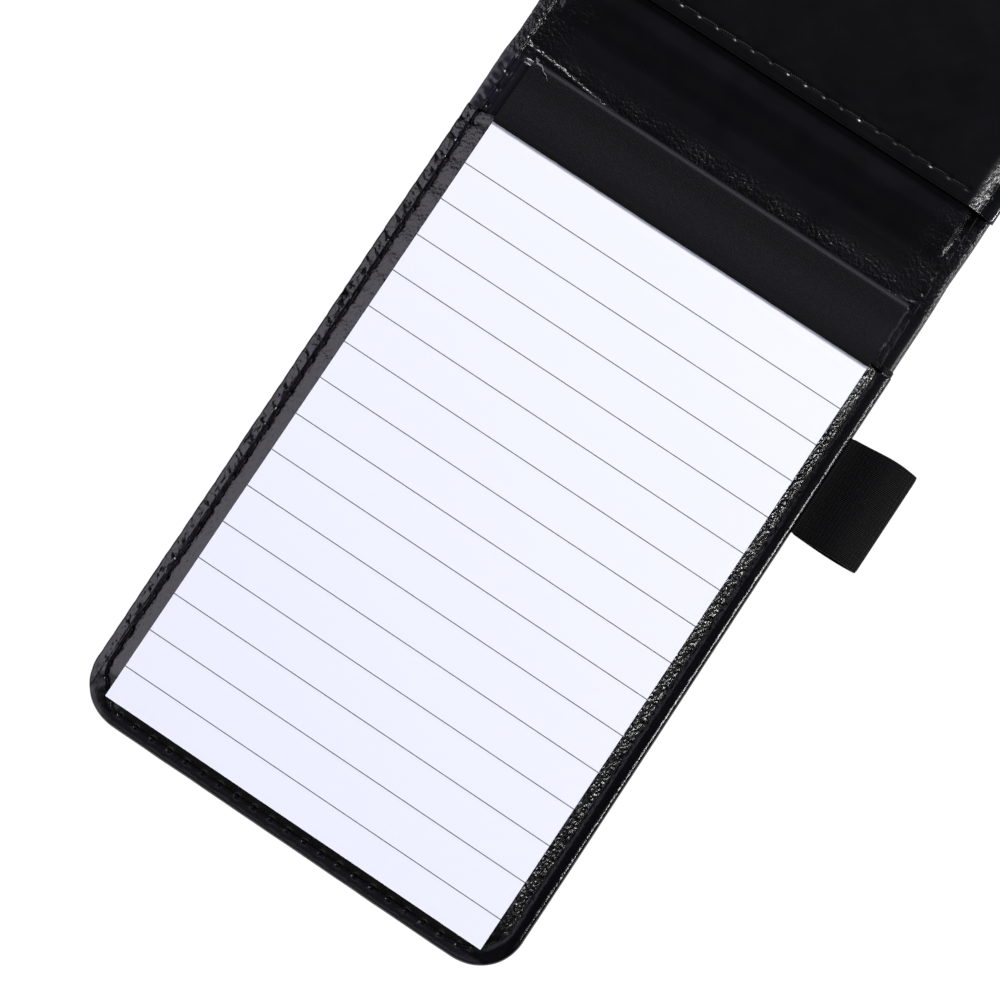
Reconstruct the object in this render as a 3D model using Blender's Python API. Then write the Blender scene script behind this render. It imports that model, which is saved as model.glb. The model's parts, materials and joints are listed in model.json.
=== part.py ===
"""Flip-top pocket notebook: sewn cover, ruled pad in the back pocket, elastic pen loop."""
import math

import bmesh
import bpy
from mathutils import Vector

# Driving dimensions, in metres.
MM = 0.001
COVER_W = 80.0 * MM          # across the back cover, flange included
SKIN_W = 79.4 * MM           # the outer leather is a little narrower than the panels on it
COVER_BOTTOM = -62.0 * MM    # free end of the back cover
LEAF_END = 62.85 * MM        # where the stiff leaf stops and the fold begins
CORNER_R = 8.0 * MM
CORNER_STEPS = 7

SKIN_T = 0.8 * MM
GROOVE_IN = 1.7 * MM
GROOVE_OUT = 2.3 * MM
GROOVE_DEPTH = 0.45 * MM
SEAM_INSET = 2.0 * MM

BOARD_INSET = 5.0 * MM
BOARD_LOW = 0.95 * MM
BOARD_TOP = 2.35 * MM
BOARD_END = 61.4 * MM

LINING_LOW = 0.95 * MM
LINING_FLANGE = 1.35 * MM
LINING_UNDER = 2.5 * MM
LINING_TOP = 2.85 * MM

PANEL_LOW = 1.5 * MM
PANEL_FLANGE = 2.7 * MM
BACK_PANEL_UNDER = 4.0 * MM
BACK_PANEL_TOP = 4.6 * MM
BACK_PANEL_EDGE = 51.6 * MM
FRONT_PANEL_UNDER = 3.0 * MM
FRONT_PANEL_TOP = 3.6 * MM
FRONT_PANEL_EDGE = 58.15 * MM
HEM_SEAM = 55.75 * MM

PAD_W = 70.0 * MM
PAD_BOTTOM = -57.9 * MM
PAD_HEAD = 61.85 * MM
TAPE_EDGE = 50.1 * MM
BACKING_LOW = 3.35 * MM
BACKING_TOP = 3.85 * MM
BACKING_CORNER = 3.0 * MM
SHEETS_LOW = 4.75 * MM
SHEETS_T = 3.0 * MM
SHEET_GAP = 0.15 * MM
SHEET_T = 0.15 * MM
HEAD_DROP = 0.75 * MM
DROP_START = 52.6 * MM
DROP_END = 55.0 * MM
TAPE_T = 0.2 * MM
TAPE_UNDER = 52.0 * MM

AXIS_A_Y = 63.7 * MM
AXIS_B_Y = 75.3 * MM
AXIS_Z = 0.675 * MM
SPINE_W = 79.0 * MM
SPINE_CLEAR = 0.9 * MM
THREAD_CLEAR = 1.7 * MM
FRONT_SHIFT = AXIS_A_Y + AXIS_B_Y

THREAD_R = 0.2 * MM
OUTER_THREAD_R = 0.15 * MM
STITCH = 3.2 * MM

LOOP_Y0 = 22.6 * MM
LOOP_Y1 = 40.4 * MM
LOOP_OUT = 51.8 * MM
LOOP_ROOT = 40.3 * MM
LOOP_Z = 3.6 * MM
LOOP_HALF_H = 3.3 * MM
LOOP_T = 0.8 * MM
TONGUE_IN = 37.0 * MM
TONGUE_LOW = 1.5 * MM
TONGUE_TOP = 2.0 * MM


def clear_scene():
    for obj in list(bpy.data.objects):
        bpy.data.objects.remove(obj, do_unlink=True)


def make_material(name, color, roughness, sheen=0.0):
    mat = bpy.data.materials.new(name)
    mat.use_nodes = True
    shader = mat.node_tree.nodes["Principled BSDF"]
    shader.inputs["Base Color"].default_value = (color[0], color[1], color[2], 1.0)
    shader.inputs["Roughness"].default_value = roughness
    shader.inputs["Sheen Weight"].default_value = sheen
    return mat


def make_materials():
    return {
        "leather": make_material("cover_leather", (0.012, 0.012, 0.016), 0.38),
        "lining": make_material("lining_leather", (0.014, 0.014, 0.018), 0.42),
        "thread": make_material("sewing_thread", (0.010, 0.010, 0.012), 0.6),
        "board": make_material("cover_board", (0.30, 0.28, 0.25), 0.9),
        "greyboard": make_material("pad_greyboard", (0.42, 0.40, 0.37), 0.9),
        "paper": make_material("ruled_paper", (0.88, 0.90, 0.92), 0.75),
        "tape": make_material("binding_tape", (0.016, 0.016, 0.020), 0.85, 0.2),
        "webbing": make_material("elastic_webbing", (0.008, 0.008, 0.010), 0.8, 0.3),
    }


def finish(name, bm, mat):
    bmesh.ops.recalc_face_normals(bm, faces=bm.faces)
    mesh = bpy.data.meshes.new(name)
    bm.to_mesh(mesh)
    bm.free()
    obj = bpy.data.objects.new(name, mesh)
    bpy.context.scene.collection.objects.link(obj)
    mesh.materials.append(mat)
    for poly in mesh.polygons:
        poly.use_smooth = True
    mesh.set_sharp_from_angle(angle=math.radians(35.0))
    return obj


def outline(inset, end_y, width=COVER_W, corner=CORNER_R):
    """A leaf's outline from its left hinge corner round the free end to the right one."""
    half = width / 2.0 - inset
    low = COVER_BOTTOM + (COVER_W - width) / 2.0 + inset
    radius = max(corner - inset, 1.2 * MM)
    points = [(-half, end_y)]
    for step in range(CORNER_STEPS + 1):
        angle = math.pi + 0.5 * math.pi * step / CORNER_STEPS
        points.append((-half + radius + radius * math.cos(angle),
                       low + radius + radius * math.sin(angle)))
    for step in range(CORNER_STEPS + 1):
        angle = 1.5 * math.pi + 0.5 * math.pi * step / CORNER_STEPS
        points.append((half - radius + radius * math.cos(angle),
                       low + radius + radius * math.sin(angle)))
    points.append((half, end_y))
    return points


def ring_solid(name, rings, mat, width=COVER_W):
    """A sheet goods piece with a shaped edge: rings of (inset, hinge end, height)."""
    bm = bmesh.new()
    loops = []
    for inset, end_y, z in rings:
        loops.append([bm.verts.new((x, y, z)) for x, y in outline(inset, end_y, width)])
    count = len(loops[0])
    for lower, upper in zip(loops, loops[1:]):
        for i in range(count):
            j = (i + 1) % count
            bm.faces.new((lower[i], lower[j], upper[j], upper[i]))
    bm.faces.new(loops[0][::-1])
    bm.faces.new(loops[-1])
    return finish(name, bm, mat)


def open_ring_solid(name, rings, end_y, mat, width=COVER_W):
    """The same, cut square at its hinge side so that the edge shape shows there."""
    bm = bmesh.new()
    loops = []
    for inset, z in rings:
        loops.append([bm.verts.new((x, y, z)) for x, y in outline(inset, end_y, width)])
    count = len(loops[0])
    for lower, upper in zip(loops, loops[1:]):
        for i in range(count - 1):
            bm.faces.new((lower[i], lower[i + 1], upper[i + 1], upper[i]))
    bm.faces.new(loops[0][::-1])
    bm.faces.new(loops[-1])
    left = [loop[0] for loop in loops]
    right = [loop[-1] for loop in loops]
    bm.faces.new(left[::-1] + right)
    return finish(name, bm, mat)


def extrude_along_y(name, section, y0, y1, mat):
    """A straight piece of constant section, given as (x, z) points."""
    bm = bmesh.new()
    near = [bm.verts.new((x, y0, z)) for x, z in section]
    far = [bm.verts.new((x, y1, z)) for x, z in section]
    count = len(section)
    for i in range(count):
        j = (i + 1) % count
        bm.faces.new((near[i], near[j], far[j], far[i]))
    bm.faces.new(near[::-1])
    bm.faces.new(far)
    return finish(name, bm, mat)


def extrude_along_x(name, section, x0, x1, mat):
    """A straight piece of constant section, given as (y, z) points."""
    bm = bmesh.new()
    near = [bm.verts.new((x0, y, z)) for y, z in section]
    far = [bm.verts.new((x1, y, z)) for y, z in section]
    count = len(section)
    for i in range(count):
        j = (i + 1) % count
        bm.faces.new((near[i], near[j], far[j], far[i]))
    bm.faces.new(near[::-1])
    bm.faces.new(far)
    return finish(name, bm, mat)


def filament(name, points, radius, mat):
    """A thread of four-sided section along a path."""
    bm = bmesh.new()
    path = [Vector(p) for p in points]
    rows = []
    last = len(path) - 1
    for i, centre in enumerate(path):
        ahead = path[min(i + 1, last)] - path[max(i - 1, 0)]
        side = Vector((ahead.y, -ahead.x, 0.0)).normalized()
        rise = side.cross(ahead).normalized()
        row = []
        for k in range(4):
            angle = 0.5 * math.pi * k
            row.append(bm.verts.new(centre + radius * (math.cos(angle) * side
                                                       + math.sin(angle) * rise)))
        rows.append(row)
    for a, b in zip(rows, rows[1:]):
        for k in range(4):
            m = (k + 1) % 4
            bm.faces.new((a[k], a[m], b[m], b[k]))
    bm.faces.new(rows[0][::-1])
    bm.faces.new(rows[-1])
    return finish(name, bm, mat)


def subtract(obj, size, centre):
    """Cut a box-shaped recess."""
    bm = bmesh.new()
    bmesh.ops.create_cube(bm, size=1.0)
    bmesh.ops.scale(bm, vec=size, verts=bm.verts)
    bmesh.ops.translate(bm, vec=centre, verts=bm.verts)
    mesh = bpy.data.meshes.new(obj.name + "_cutter")
    bm.to_mesh(mesh)
    bm.free()
    cutter = bpy.data.objects.new(obj.name + "_cutter", mesh)
    bpy.context.scene.collection.objects.link(cutter)
    cutter.hide_render = True
    cutter.display_type = "WIRE"
    mod = obj.modifiers.new("recess", "BOOLEAN")
    mod.operation = "DIFFERENCE"
    mod.solver = "EXACT"
    mod.object = cutter


def seam_path(end_y, panel_edge, flange_z, lining_z):
    """Needle thread: little arches, one for each stitch, over the panel and then the lining."""
    track = outline(SEAM_INSET, end_y)
    dense = []
    for a, b in zip(track, track[1:]):
        length = math.hypot(b[0] - a[0], b[1] - a[1])
        pieces = max(1, round(length / (STITCH / 2.0)))
        for i in range(pieces):
            t = i / pieces
            dense.append((a[0] + t * (b[0] - a[0]), a[1] + t * (b[1] - a[1])))
    dense.append(track[-1])
    points = []
    for i, (x, y) in enumerate(dense):
        lift = 0.28 * MM if i % 2 == 0 else 0.42 * MM
        if y > panel_edge + 1.5 * MM:
            base = lining_z
        elif y > panel_edge - 0.1 * MM:
            base = flange_z + 0.1 * MM
        else:
            base = flange_z
        points.append((x, y, base + lift))
    return points


def turned(obj):
    """Front-cover pieces are made like the back ones and face the other way."""
    obj.rotation_euler = (0.0, 0.0, math.pi)
    obj.location = (0.0, FRONT_SHIFT, 0.0)
    return obj


def leaf_skin(name, mat):
    rings = [(GROOVE_OUT, 0.0), (GROOVE_OUT, GROOVE_DEPTH), (GROOVE_IN, GROOVE_DEPTH),
             (GROOVE_IN, 0.0), (0.35 * MM, 0.0), (0.0, 0.3 * MM), (0.0, 0.55 * MM),
             (0.3 * MM, SKIN_T), (GROOVE_OUT, SKIN_T)]
    return open_ring_solid(name, rings, LEAF_END, mat, SKIN_W)


def leaf_board(name, mat):
    rings = [(BOARD_INSET, BOARD_END, BOARD_LOW), (BOARD_INSET, BOARD_END, BOARD_TOP)]
    return ring_solid(name, rings, mat)


def leaf_lining(name, mat):
    rings = [(4.15 * MM, 61.7 * MM, LINING_UNDER), (3.45 * MM, 62.2 * MM, LINING_LOW),
             (0.6 * MM, LEAF_END, LINING_LOW), (0.6 * MM, LEAF_END, LINING_FLANGE),
             (3.3 * MM, 62.5 * MM, LINING_FLANGE), (4.0 * MM, 62.0 * MM, LINING_TOP)]
    return ring_solid(name, rings, mat)


def leaf_panel(name, under, top, edge, mat):
    rings = [(3.8 * MM, under), (2.9 * MM, PANEL_LOW), (0.35 * MM, PANEL_LOW),
             (0.0, PANEL_LOW + 0.35 * MM), (0.0, PANEL_FLANGE - 0.35 * MM),
             (0.35 * MM, PANEL_FLANGE), (2.7 * MM, PANEL_FLANGE), (3.6 * MM, top)]
    return open_ring_solid(name, rings, edge, mat)


def outer_seam(name, mat):
    track = outline(SEAM_INSET, LEAF_END - 0.2 * MM, SKIN_W)
    return filament(name, [(x, y, 0.21 * MM) for x, y in track], OUTER_THREAD_R, mat)


def make_back(mats):
    leaf_skin("back_cover_skin", mats["leather"])
    leaf_board("back_board", mats["board"])
    leaf_lining("back_lining", mats["lining"])
    panel = leaf_panel("back_pocket_panel", BACK_PANEL_UNDER, BACK_PANEL_TOP,
                       BACK_PANEL_EDGE, mats["leather"])
    subtract(panel, (6.0 * MM, LOOP_Y1 - LOOP_Y0 + 0.6 * MM, 1.3 * MM),
             (39.8 * MM, (LOOP_Y0 + LOOP_Y1) / 2.0, 1.5 * MM))
    filament("back_edge_thread",
             seam_path(62.3 * MM, BACK_PANEL_EDGE, PANEL_FLANGE, LINING_FLANGE),
             THREAD_R, mats["thread"])
    outer_seam("back_edge_thread_outer", mats["thread"])


def make_front(mats):
    turned(leaf_skin("front_cover_skin", mats["leather"]))
    turned(leaf_board("front_board", mats["board"]))
    turned(leaf_lining("front_lining", mats["lining"]))
    turned(leaf_panel("front_pocket_panel", FRONT_PANEL_UNDER, FRONT_PANEL_TOP,
                      FRONT_PANEL_EDGE, mats["leather"]))
    turned(filament("front_edge_thread",
                    seam_path(62.3 * MM, FRONT_PANEL_EDGE, PANEL_FLANGE, LINING_FLANGE),
                    THREAD_R, mats["thread"]))
    turned(outer_seam("front_edge_thread_outer", mats["thread"]))
    hem = []
    count = 42
    for i in range(count + 1):
        x = (-33.6 + 67.2 * i / count) * MM
        lift = 0.28 * MM if i % 2 == 0 else 0.42 * MM
        hem.append((x, HEM_SEAM, FRONT_PANEL_TOP + lift))
    turned(filament("front_hem_thread", hem, THREAD_R, mats["thread"]))


def make_spine(mats):
    y0 = AXIS_A_Y + SPINE_CLEAR
    y1 = AXIS_B_Y - SPINE_CLEAR
    half = SPINE_W / 2.0
    g0 = SKIN_W / 2.0 - GROOVE_OUT
    g1 = SKIN_W / 2.0 - GROOVE_IN
    right = [(g0, 0.0), (g0, GROOVE_DEPTH), (g1, GROOVE_DEPTH), (g1, 0.0),
             (half - 0.35 * MM, 0.0), (half, 0.3 * MM), (half, 0.55 * MM),
             (half - 0.3 * MM, SKIN_T)]
    section = right + [(-x, z) for x, z in reversed(right)]
    extrude_along_y("spine_skin", section, y0, y1, mats["leather"])
    edge = half - 0.1 * MM
    lining = [(edge - 0.15 * MM, LINING_LOW), (edge, LINING_LOW + 0.15 * MM),
              (edge, LINING_FLANGE - 0.15 * MM), (edge - 0.15 * MM, LINING_FLANGE)]
    section = lining + [(-x, z) for x, z in reversed(lining)]
    extrude_along_y("spine_lining", section, y0, y1, mats["lining"])
    x_seam = COVER_W / 2.0 - SEAM_INSET - 0.3 * MM
    t0 = AXIS_A_Y + THREAD_CLEAR
    t1 = AXIS_B_Y - THREAD_CLEAR
    for side, label in ((-1.0, "left"), (1.0, "right")):
        points = []
        for i in range(6):
            lift = 0.28 * MM if i % 2 == 0 else 0.4 * MM
            points.append((side * x_seam, t0 + (t1 - t0) * i / 5.0, LINING_FLANGE + lift))
        filament("spine_thread_" + label, points, THREAD_R, mats["thread"])
        x_out = SKIN_W / 2.0 - SEAM_INSET
        filament("spine_thread_" + label + "_outer",
                 [(side * x_out, y0 + 0.2 * MM, 0.21 * MM),
                  (side * x_out, y1 - 0.2 * MM, 0.21 * MM)],
                 OUTER_THREAD_R, mats["thread"])


def backing_board(mat):
    """Card with its two free corners rounded, so that it goes into the pocket."""
    half = PAD_W / 2.0
    r = BACKING_CORNER
    points = [(-half, PAD_HEAD)]
    for side, start in ((-1.0, math.pi), (1.0, 1.5 * math.pi)):
        for step in range(6):
            angle = start + 0.5 * math.pi * step / 5.0
            points.append((side * (half - r) + r * math.cos(angle),
                           PAD_BOTTOM + r + r * math.sin(angle)))
    points.append((half, PAD_HEAD))
    bm = bmesh.new()
    low = [bm.verts.new((x, y, BACKING_LOW)) for x, y in points]
    high = [bm.verts.new((x, y, BACKING_TOP)) for x, y in points]
    count = len(points)
    for i in range(count):
        j = (i + 1) % count
        bm.faces.new((low[i], low[j], high[j], high[i]))
    bm.faces.new(low[::-1])
    bm.faces.new(high)
    return finish("pad_backing_board", bm, mat)


def make_pad(mats):
    half = PAD_W / 2.0
    bottom = PAD_BOTTOM
    backing_board(mats["greyboard"])
    low = SHEETS_LOW
    top = low + SHEETS_T
    extrude_along_x("sheet_block",
                    [(bottom, low), (DROP_START, low), (DROP_END, low - HEAD_DROP),
                     (PAD_HEAD, low - HEAD_DROP), (PAD_HEAD, top - HEAD_DROP),
                     (DROP_END, top - HEAD_DROP), (DROP_START, top), (bottom, top)],
                    -half, half, mats["paper"])
    low = top + SHEET_GAP
    top = low + SHEET_T
    extrude_along_x("top_sheet",
                    [(bottom, low), (DROP_START, low), (DROP_END, low - HEAD_DROP),
                     (PAD_HEAD, low - HEAD_DROP), (PAD_HEAD, top - HEAD_DROP),
                     (DROP_END, top - HEAD_DROP), (DROP_START, top), (bottom, top)],
                    -half, half, mats["paper"])
    low = top + SHEET_GAP
    top = low + TAPE_T
    inner = PAD_HEAD + SHEET_GAP
    outer = inner + TAPE_T
    flap_top = BACKING_LOW - SHEET_GAP
    flap_low = flap_top - TAPE_T
    extrude_along_x("binding_tape",
                    [(TAPE_EDGE, low), (DROP_START, low), (DROP_END, low - HEAD_DROP),
                     (inner, low - HEAD_DROP), (inner, flap_top), (TAPE_UNDER, flap_top),
                     (TAPE_UNDER, flap_low), (outer - 0.1 * MM, flap_low),
                     (outer, flap_low + 0.1 * MM), (outer, top - HEAD_DROP - 0.15 * MM),
                     (outer - 0.15 * MM, top - HEAD_DROP), (DROP_END, top - HEAD_DROP),
                     (DROP_START, top), (TAPE_EDGE, top)],
                    -half, half, mats["tape"])


def make_pen_loop(mats):
    """Webbing folded double: two layers meet in the flange and swell into an oval loop."""
    steps = 28
    a = (LOOP_OUT - LOOP_ROOT) / 2.0
    cx = LOOP_ROOT + a
    bm = bmesh.new()
    rings = []
    for y in (LOOP_Y0, LOOP_Y1):
        for inset in (0.0, LOOP_T):
            row = []
            for i in range(steps):
                angle = 2.0 * math.pi * i / steps
                x = cx + (a - inset) * math.cos(angle)
                z = LOOP_Z + (LOOP_HALF_H - inset) * math.sin(angle)
                near = max(0.0, -math.cos(angle)) ** 3
                z += near * ((TONGUE_LOW + TONGUE_TOP) / 2.0 - LOOP_Z)
                row.append(bm.verts.new((x, y, z)))
            rings.append(row)
    out0, in0, out1, in1 = rings
    for i in range(steps):
        j = (i + 1) % steps
        bm.faces.new((out0[i], out0[j], out1[j], out1[i]))
        bm.faces.new((in0[j], in0[i], in1[i], in1[j]))
        bm.faces.new((out0[j], out0[i], in0[i], in0[j]))
        bm.faces.new((out1[i], out1[j], in1[j], in1[i]))
    loop = finish("pen_loop", bm, mats["webbing"])
    bm = bmesh.new()
    bmesh.ops.create_cube(bm, size=1.0)
    x1 = LOOP_ROOT + 0.5 * MM
    bmesh.ops.scale(bm, vec=(x1 - TONGUE_IN, LOOP_Y1 - LOOP_Y0, TONGUE_TOP - TONGUE_LOW),
                    verts=bm.verts)
    bmesh.ops.translate(bm, vec=((x1 + TONGUE_IN) / 2.0, (LOOP_Y0 + LOOP_Y1) / 2.0,
                                 (TONGUE_TOP + TONGUE_LOW) / 2.0), verts=bm.verts)
    mesh = bpy.data.meshes.new("pen_loop_tongue")
    bm.to_mesh(mesh)
    bm.free()
    tongue = bpy.data.objects.new("pen_loop_tongue", mesh)
    bpy.context.scene.collection.objects.link(tongue)
    tongue.hide_render = True
    tongue.display_type = "WIRE"
    mod = loop.modifiers.new("tongue", "BOOLEAN")
    mod.operation = "UNION"
    mod.solver = "EXACT"
    mod.object = tongue


def main():
    clear_scene()
    mats = make_materials()
    make_back(mats)
    make_pad(mats)
    make_spine(mats)
    make_front(mats)
    make_pen_loop(mats)


main()
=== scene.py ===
import json
import math

import bpy
from mathutils import Matrix, Vector, noise


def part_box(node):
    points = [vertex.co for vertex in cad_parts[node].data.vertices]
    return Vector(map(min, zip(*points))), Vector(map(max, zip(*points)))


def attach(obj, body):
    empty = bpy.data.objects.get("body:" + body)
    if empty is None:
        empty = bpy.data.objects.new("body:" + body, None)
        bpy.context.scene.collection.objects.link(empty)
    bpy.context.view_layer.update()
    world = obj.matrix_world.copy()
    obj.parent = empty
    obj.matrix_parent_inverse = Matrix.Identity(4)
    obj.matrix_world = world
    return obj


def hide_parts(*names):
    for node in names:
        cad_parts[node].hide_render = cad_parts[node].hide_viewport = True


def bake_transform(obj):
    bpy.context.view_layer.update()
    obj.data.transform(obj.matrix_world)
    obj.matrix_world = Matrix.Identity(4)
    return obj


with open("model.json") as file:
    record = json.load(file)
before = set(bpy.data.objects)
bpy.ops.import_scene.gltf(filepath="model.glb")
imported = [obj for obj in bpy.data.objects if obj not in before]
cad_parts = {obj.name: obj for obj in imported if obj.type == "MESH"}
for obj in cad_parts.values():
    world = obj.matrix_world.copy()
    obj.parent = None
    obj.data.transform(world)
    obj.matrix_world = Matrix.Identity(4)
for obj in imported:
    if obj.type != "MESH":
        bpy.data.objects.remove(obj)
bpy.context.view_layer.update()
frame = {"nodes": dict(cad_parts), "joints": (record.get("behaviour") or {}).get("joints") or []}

# Lengths below are in millimetres in the row frame; meshes are scaled to metres when made.
MM = 0.001


def box_mm(node):
    low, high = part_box(node)
    return low / MM, high / MM


PANEL_LOW, PANEL_HIGH = box_mm("back_pocket_panel")
SKIN_HIGH = box_mm("back_cover_skin")[1]
LINING_LOW, LINING_HIGH = box_mm("back_lining")
FRONT_PANEL_LOW, FRONT_PANEL_HIGH = box_mm("front_pocket_panel")
PAGE_LOW, PAGE_HIGH = box_mm("top_sheet")
STACK_LOW, STACK_HIGH = box_mm("sheet_block")
TAPE_LOW, TAPE_HIGH = box_mm("binding_tape")
LOOP_LOW, LOOP_HIGH = box_mm("pen_loop")
FOLDS = {j["name"]: Vector(j["pos_m"]) / MM for j in frame["joints"]}

HALF_W = PANEL_HIGH.x
FOOT_Y = PANEL_LOW.y
CORNER_R = 8.0
TURN_Y = FOLDS["spine_fold"].y + FOLDS["cover_fold"].y   # a front leaf's y is TURN_Y less its own
SPLIT_Y = TURN_Y / 2.0
STEP = 0.25                     # along the rims
PITCH = 3.2                     # one stitch
SEAM_D = 2.0                    # seam line's distance in from the edge
WIDE_SEAM = 0.65                # how much further in it runs along the right-hand side
CREST_D = 1.2                   # the rim's crest, in from the edge
SOFT_CREST = 0.54               # and how much further in on the narrow-seam side
RISE_D = 2.1                    # where the leather starts up over what is under it
BACK_RISE, FRONT_RISE = 0.70, 0.48     # and how steeply on each leaf
PANEL_RIM = (1.75, 2.70, 2.12)  # heights of a panel's outer edge, rim crest and seam valley
LINING_RIM = (1.10, 1.95, 1.38)
PANEL_T = 0.33
LINING_Z = LINING_LOW.z + 0.4   # lining where it lies on the skin
LINING_BOARD_Z = LINING_HIGH.z  # lining where it covers the board
BOARD_END = 61.4
BACK_EDGE_Y = PANEL_HIGH.y
FRONT_EDGE_Y = TURN_Y - FRONT_PANEL_LOW.y      # in the front leaf's own frame
HEM_Y = FRONT_EDGE_Y - 2.35
HEM_PITCH = 3.35
TAPE_EDGE = TAPE_LOW.y
RULES = 15
FIRST_RULE = 7.8                # below the tape
RULE_PITCH = 6.76
RULE_HALF = 0.08                # half a printed line's width
SHEET_T = 0.12
TAPE_T = 0.17
HEAD_ROUND = 1.15               # radius of the pad's bound head
FOLD_BEFORE, FOLD_AFTER = 3.1, 2.4     # reach of a fold's own stitches on either side of it


# ---------------------------------------------------------------- small helpers

def smooth(a, b, x):
    t = min(1.0, max(0.0, (x - a) / (b - a)))
    return t * t * (3.0 - 2.0 * t)


def bump(x, width):
    return math.exp(-(x / width) ** 2)


def wobble(x, y, seed, size):
    """Smooth noise from -1 to 1 with features of about that size."""
    return noise.noise(Vector((x / size, y / size, seed)))


def to_next(s, pitch):
    """Distance to the nearest multiple of pitch."""
    return abs(s - pitch * round(s / pitch))


def cover_lean(x, y):
    """The cover lies a little askew, its head end to the left."""
    return x - 0.0035 * (min(80.0, max(-50.0, y)) + 50.0) + 0.05, y


def pad_lean(x, y):
    return x + 0.27 + 0.0014 * y, y


def make_object(name, verts, faces, materials, slots=None, turned=False, lean=cover_lean):
    if turned:
        verts = [(-x, TURN_Y - y, z) for x, y, z in verts]
    mesh = bpy.data.meshes.new(name)
    placed = [(*lean(x, y), z) for x, y, z in verts]
    mesh.from_pydata([(x * MM, y * MM, z * MM) for x, y, z in placed], [], faces)
    for material in materials:
        mesh.materials.append(material)
    if slots:
        mesh.polygons.foreach_set("material_index", slots)
    mesh.polygons.foreach_set("use_smooth", [True] * len(mesh.polygons))
    mesh.set_sharp_from_angle(angle=math.radians(50.0))
    obj = bpy.data.objects.new(name, mesh)
    bpy.context.scene.collection.objects.link(obj)
    return obj


def join_parts(parts):
    """One vertex and face list from several."""
    verts, faces = [], []
    for v, f in parts:
        base = len(verts)
        verts.extend(v)
        faces.extend([tuple(base + i for i in face) for face in f])
    return verts, faces


# ---------------------------------------------------------------- materials

class Nodes:
    """A material's node tree, with short calls for the nodes used here."""

    def __init__(self, name):
        self.material = bpy.data.materials.new(name)
        self.material.use_nodes = True
        self.tree = self.material.node_tree
        self.shader = self.tree.nodes["Principled BSDF"]
        self.coords = self.tree.nodes.new("ShaderNodeTexCoord").outputs["Object"]

    def link(self, a, b):
        self.tree.links.new(a, b)

    def noise(self, size, detail=3.0, rough=0.55):
        node = self.tree.nodes.new("ShaderNodeTexNoise")
        node.inputs["Scale"].default_value = 1.0 / (size * MM)
        node.inputs["Detail"].default_value = detail
        node.inputs["Roughness"].default_value = rough
        self.link(self.coords, node.inputs["Vector"])
        return node.outputs["Fac"]

    def cells(self, size, feature="DISTANCE_TO_EDGE"):
        node = self.tree.nodes.new("ShaderNodeTexVoronoi")
        node.feature = feature
        node.inputs["Scale"].default_value = 1.0 / (size * MM)
        self.link(self.coords, node.inputs["Vector"])
        return node.outputs["Distance"]

    def waves(self, size, direction, distortion=0.0):
        node = self.tree.nodes.new("ShaderNodeTexWave")
        node.bands_direction = direction
        node.inputs["Scale"].default_value = 1.0 / (size * MM) * 0.314
        node.inputs["Distortion"].default_value = distortion
        self.link(self.coords, node.inputs["Vector"])
        return node.outputs["Fac"]

    def axis(self, name):
        node = self.tree.nodes.new("ShaderNodeSeparateXYZ")
        self.link(self.coords, node.inputs[0])
        return node.outputs[name]

    def math(self, kind, a, b):
        node = self.tree.nodes.new("ShaderNodeMath")
        node.operation = kind
        for socket, value in zip(node.inputs, (a, b)):
            if isinstance(value, (int, float)):
                socket.default_value = value
            else:
                self.link(value, socket)
        return node.outputs[0]

    def ramp(self, value, low, high, at_low, at_high):
        node = self.tree.nodes.new("ShaderNodeMapRange")
        node.inputs["From Min"].default_value = low
        node.inputs["From Max"].default_value = high
        node.inputs["To Min"].default_value = at_low
        node.inputs["To Max"].default_value = at_high
        self.link(value, node.inputs["Value"])
        return node.outputs["Result"]

    def along(self, axis, start, stop, at_start, at_stop):
        """A ramp along X or Y, between two places in millimetres."""
        return self.ramp(self.axis(axis), start * MM, stop * MM, at_start, at_stop)

    def times(self, value, *others):
        for other in others:
            value = self.math("MULTIPLY", value, other)
        return value

    def color(self, value, low, high):
        node = self.tree.nodes.new("ShaderNodeMix")
        node.data_type = "RGBA"
        node.clamp_factor = False
        node.inputs[6].default_value = (*low, 1.0)
        node.inputs[7].default_value = (*high, 1.0)
        self.link(value, node.inputs[0])
        self.link(node.outputs[2], self.shader.inputs["Base Color"])

    def bump(self, height, depth, after=None):
        node = self.tree.nodes.new("ShaderNodeBump")
        node.inputs["Distance"].default_value = depth * MM
        node.inputs["Strength"].default_value = 1.0
        self.link(height, node.inputs["Height"])
        if after is not None:
            self.link(after, node.inputs["Normal"])
        self.link(node.outputs["Normal"], self.shader.inputs["Normal"])
        return node.outputs["Normal"]

    def set(self, **values):
        for name, value in values.items():
            self.shader.inputs[name.replace("_", " ")].default_value = value


def leather(name, dark, light, roughness, cell, depth, painted_light_mask=None):
    """Coated leather with a fine pebbled grain, painted lighter where the given painted-light mask
    says so.
    """
    m = Nodes(name)
    tone = m.ramp(m.noise(6.0, 4.0), 0.35, 0.7, 0.0, 1.0)
    # painted light: the mask lifts the colour towards the lighter tone
    if painted_light_mask:
        tone = m.math("ADD", tone, painted_light_mask(m))
    m.color(tone, dark, light)
    m.rough = m.ramp(m.noise(9.0, 2.0), 0.3, 0.7, roughness - 0.015, roughness + 0.02)
    m.link(m.rough, m.shader.inputs["Roughness"])
    pebbles = m.ramp(m.cells(cell), 0.0, 0.35, 0.0, 1.0)
    grain = m.math("ADD", pebbles, m.noise(cell * 0.45, 2.0))
    first = m.bump(m.noise(2.5, 3.0, 0.5), depth * 0.8)
    m.fine = m.bump(grain, depth, after=first)
    m.set(Specular_IOR_Level=0.5)
    return m


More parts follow.
